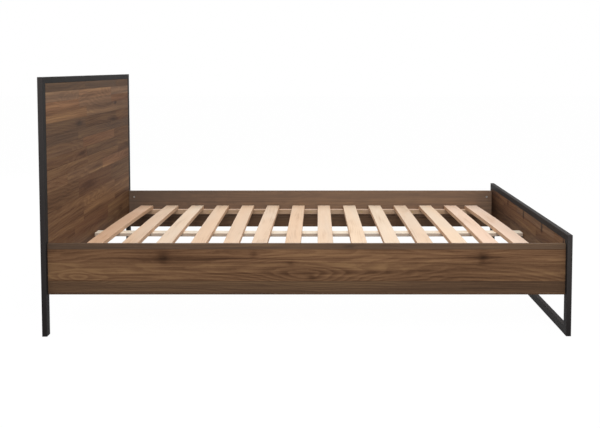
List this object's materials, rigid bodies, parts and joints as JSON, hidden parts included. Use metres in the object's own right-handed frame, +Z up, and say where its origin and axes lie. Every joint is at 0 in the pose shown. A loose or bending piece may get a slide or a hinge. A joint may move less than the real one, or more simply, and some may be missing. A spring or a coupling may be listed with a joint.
{
  "type": "panel bed frame",
  "caption": "Low double bed frame: black steel tube head and foot frames filled with walnut stave panels, walnut side rails, and a base of pale wooden slats over a centre beam.",
  "frame": {"origin": "on the floor under the middle of the bed", "axes": "+X from the head to the foot, +Y to the right side as seen from the foot, +Z up"},
  "size_m": [2.054, 1.59, 1.005],
  "materials": {
    "black_steel": "satin black powder coat",
    "walnut": "walnut staves with a matt lacquer",
    "slat_wood": "planed pale softwood, bare",
    "batten_wood": "sawn pale softwood, bare",
    "black_plastic": "moulded, fine matt",
    "zinc_plate": "zinc-plated fasteners"
  },
  "bodies": {
    "root": {"head_post_left": "black_steel", "head_post_right": "black_steel", "head_top_tube": "black_steel", "head_lower_tube": "black_steel", "head_panel_tabs": "black_steel", "headboard_panel": "walnut", "head_panel_screws": "zinc_plate", "head_glide_left": "black_plastic", "head_glide_right": "black_plastic", "foot_post_left": "black_steel", "foot_post_right": "black_steel", "foot_top_tube": "black_steel", "foot_lower_tube": "black_steel", "foot_floor_tube": "black_steel", "foot_panel_tabs": "black_steel", "footboard_panel": "walnut", "foot_panel_screws": "zinc_plate", "foot_pad_left": "black_plastic", "foot_pad_middle": "black_plastic", "foot_pad_right": "black_plastic", "side_rail_left": "walnut", "side_rail_right": "walnut", "slat_ledger_left": "batten_wood", "slat_ledger_right": "batten_wood", "ledger_screws": "zinc_plate", "slat_01": "slat_wood", "slat_02": "slat_wood", "slat_03": "slat_wood", "slat_04": "slat_wood", "slat_05": "slat_wood", "slat_06": "slat_wood", "slat_07": "slat_wood", "slat_08": "slat_wood", "slat_09": "slat_wood", "slat_10": "slat_wood", "slat_11": "slat_wood", "slat_12": "slat_wood", "slat_13": "slat_wood", "slat_14": "slat_wood", "slat_screws": "zinc_plate", "centre_beam": "batten_wood", "beam_bracket_head": "black_steel", "beam_bracket_foot": "black_steel", "beam_bracket_screws": "zinc_plate", "rail_bolts": "zinc_plate", "barrel_nuts": "zinc_plate"}
  },
  "joints": []
}
